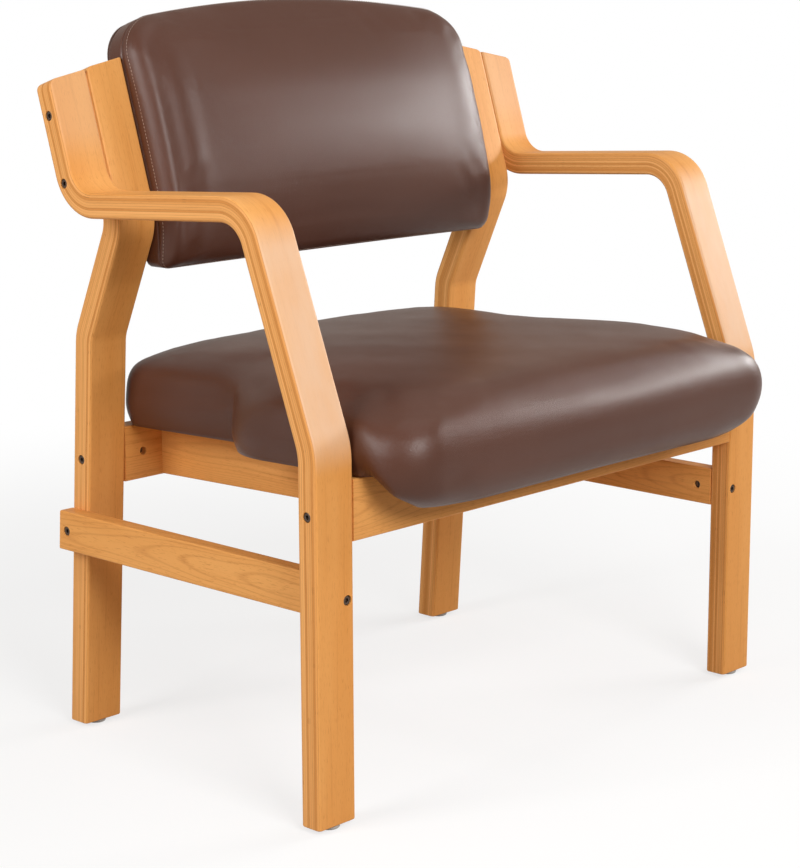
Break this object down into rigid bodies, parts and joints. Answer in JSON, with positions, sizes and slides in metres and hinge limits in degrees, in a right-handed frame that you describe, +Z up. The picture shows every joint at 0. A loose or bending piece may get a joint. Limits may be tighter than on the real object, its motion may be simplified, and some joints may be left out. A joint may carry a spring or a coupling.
{
  "type": "bariatric armchair",
  "caption": "Wide armchair with bent laminated wooden arm frames and back legs, side stretchers, and a padded seat and back in coated fabric.",
  "frame": {"origin": "on the floor, at the middle of the rectangle the chair covers", "axes": "+Z up, +Y towards the back, front towards -Y, +X to the right as seen from the front"},
  "size_m": [0.8, 0.5748, 0.8754],
  "materials": {
    "beech": "clear satin lacquer over laminated beech",
    "plywood": "plain plywood",
    "dowel_wood": "plain beech",
    "foam": "moulded foam",
    "coated_fabric": "satin fine-grained coated fabric",
    "panel": "coated fabric over a thin board",
    "bronzed_steel": "dark bronzed",
    "zinc_steel": "zinc plated",
    "glide_plastic": "moulded"
  },
  "bodies": {
    "root": {"arm_frame_left": "beech", "arm_frame_right": "beech", "rear_leg_left": "beech", "rear_leg_right": "beech", "front_rail": "beech", "rear_rail": "beech", "side_rail_left": "beech", "side_rail_right": "beech", "side_stretcher_left": "beech", "side_stretcher_right": "beech", "seat_board": "plywood", "seat_foam": "foam", "seat_cover": "coated_fabric", "back_board": "plywood", "back_foam": "foam", "back_cover": "coated_fabric", "back_panel": "panel", "back_bolts": "bronzed_steel", "back_inserts": "zinc_steel", "front_rail_bolts": "bronzed_steel", "front_rail_nuts": "bronzed_steel", "rear_rail_bolts": "bronzed_steel", "rear_rail_nuts": "bronzed_steel", "stretcher_front_bolts": "bronzed_steel", "stretcher_nuts": "bronzed_steel", "stretcher_rear_bolts": "bronzed_steel", "stretcher_inserts": "zinc_steel", "front_rail_dowels": "dowel_wood", "rear_rail_dowels": "dowel_wood", "side_rail_dowels": "dowel_wood", "seat_screws": "zinc_steel", "foot_glides": "glide_plastic", "glide_nails": "zinc_steel"}
  },
  "joints": []
}
